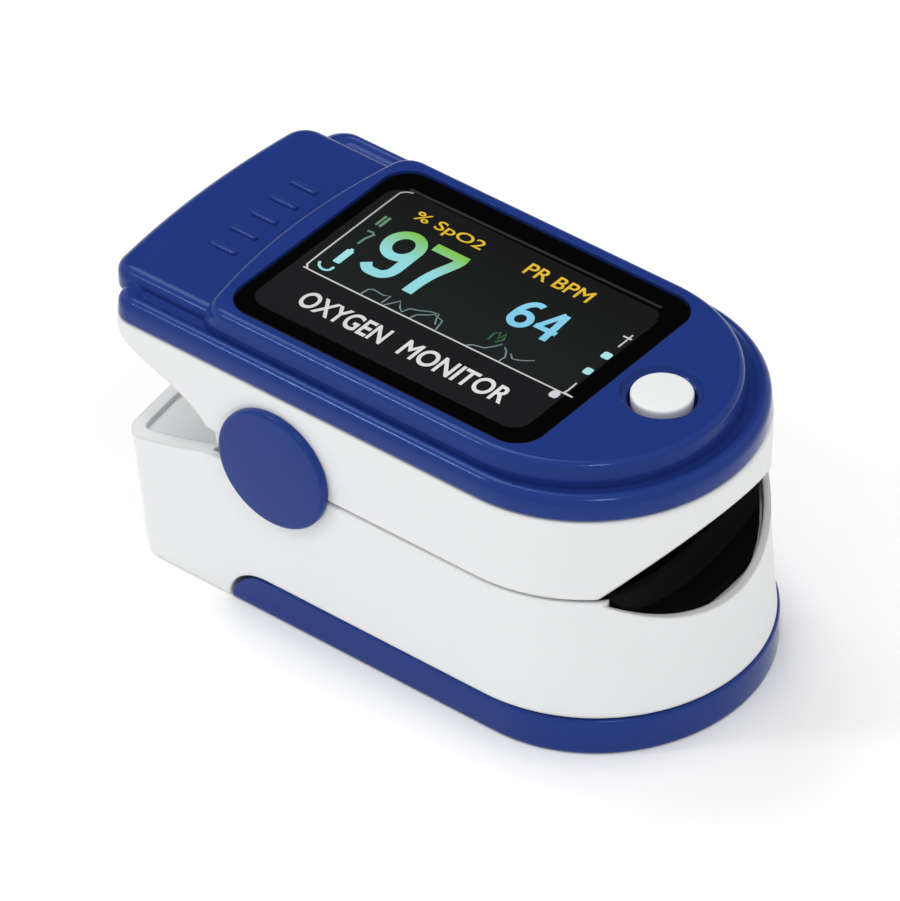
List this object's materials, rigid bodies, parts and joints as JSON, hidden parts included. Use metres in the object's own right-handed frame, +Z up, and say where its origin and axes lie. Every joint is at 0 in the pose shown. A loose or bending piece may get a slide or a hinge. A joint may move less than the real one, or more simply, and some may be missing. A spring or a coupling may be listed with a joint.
{
  "type": "fingertip pulse oximeter",
  "caption": "Clip-on fingertip pulse oximeter: hinged spring jaws with silicone finger pads, tinted display window, push button and sliding battery cover.",
  "frame": {"origin": "centre of the outer box in X and Y, on the plane the closed oximeter stands on", "axes": "+X towards the finger mouth and the push button, +Y to the left side, +Z up through the display; the hinge runs along Y"},
  "size_m": [0.061, 0.0342, 0.0298],
  "materials": {
    "blue_plastic": "smooth injection moulded ABS, semi-gloss",
    "white_plastic": "smooth injection moulded ABS, satin",
    "tinted_window": "black tinted acrylic, polished",
    "black_silicone": "matte black silicone",
    "circuit_board": "green solder mask",
    "chip_black": "moulded black epoxy",
    "clear_window": "clear red-tinted plastic",
    "spring_steel": "nickel plated steel",
    "cell_jacket": "printed metal can",
    "flex_film": "amber polyimide film"
  },
  "bodies": {
    "base": {"lower_shell": "white_plastic", "lower_finger_pad": "black_silicone", "sensor_board": "circuit_board", "photodiode": "chip_black", "sensor_window": "clear_window", "battery_left": "cell_jacket", "battery_right": "cell_jacket", "contact_plate_rear_left": "spring_steel", "contact_plate_rear_right": "spring_steel", "contact_bridge_front": "spring_steel", "contact_spring_left": "spring_steel", "contact_spring_right": "spring_steel", "hinge_pin": "spring_steel", "hinge_cap_left": "blue_plastic", "hinge_cap_right": "blue_plastic", "torsion_spring_left": "spring_steel", "torsion_spring_right": "spring_steel", "flex_cable": "flex_film"},
    "upper_jaw": {"top_cover": "blue_plastic", "display_lens": "tinted_window", "display_panel": "chip_black", "display_carrier": "chip_black", "main_board": "circuit_board", "controller_chip": "chip_black", "sounder": "chip_black", "tact_switch": "spring_steel", "upper_frame": "white_plastic", "upper_finger_pad": "black_silicone", "emitter_board": "circuit_board", "emitter_led": "chip_black", "emitter_window": "clear_window", "screw_front_right": "spring_steel", "screw_front_left": "spring_steel", "screw_rear_right": "spring_steel", "screw_rear_left": "spring_steel"},
    "power_button": {"power_button": "white_plastic"},
    "battery_cover": {"battery_cover": "blue_plastic"}
  },
  "joints": [
    {"name": "jaw_hinge", "type": "hinge", "parent": "base", "child": "upper_jaw", "pos_m": [-0.0086, 0, 0.0177], "axis": [0, -1, 0], "range_deg": [0, 20], "stiffness_Nm_per_rad": 0.15, "springref_deg": -22.92, "deforming": ["torsion_spring_left", "torsion_spring_right", "flex_cable"]},
    {"name": "power_button_press", "type": "slide", "parent": "upper_jaw", "child": "power_button", "axis": [0, 0, -1], "range_m": [0, 0.0005], "stiffness_N_per_m": 1500, "springref_m": -0.0005},
    {"name": "battery_cover_slide", "type": "slide", "parent": "base", "child": "battery_cover", "axis": [1, 0, 0], "range_m": [0, 0.046]}
  ]
}
